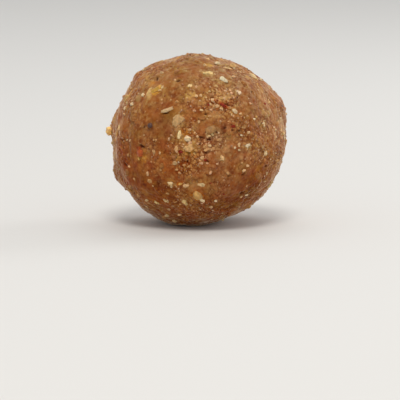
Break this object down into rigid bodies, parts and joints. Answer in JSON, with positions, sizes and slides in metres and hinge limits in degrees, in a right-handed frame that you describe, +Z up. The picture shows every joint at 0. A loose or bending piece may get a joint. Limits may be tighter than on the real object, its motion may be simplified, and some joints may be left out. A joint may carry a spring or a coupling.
{
  "type": "gond ladoo",
  "caption": "Hand-rolled ball-shaped sweet of roasted flour, edible gum and chopped nuts, resting on a small flat spot.",
  "frame": {"origin": "middle of the footprint, on the surface that the ladoo rests on", "axes": "+Z up, the front seen in the picture faces -Y, +X to the right of the front"},
  "size_m": [0.043, 0.0422, 0.0406],
  "materials": {
    "dough": "moist, grainy roasted flour dough with cream, amber and dark flecks"
  },
  "bodies": {
    "root": {"ladoo": "dough"}
  },
  "joints": []
}
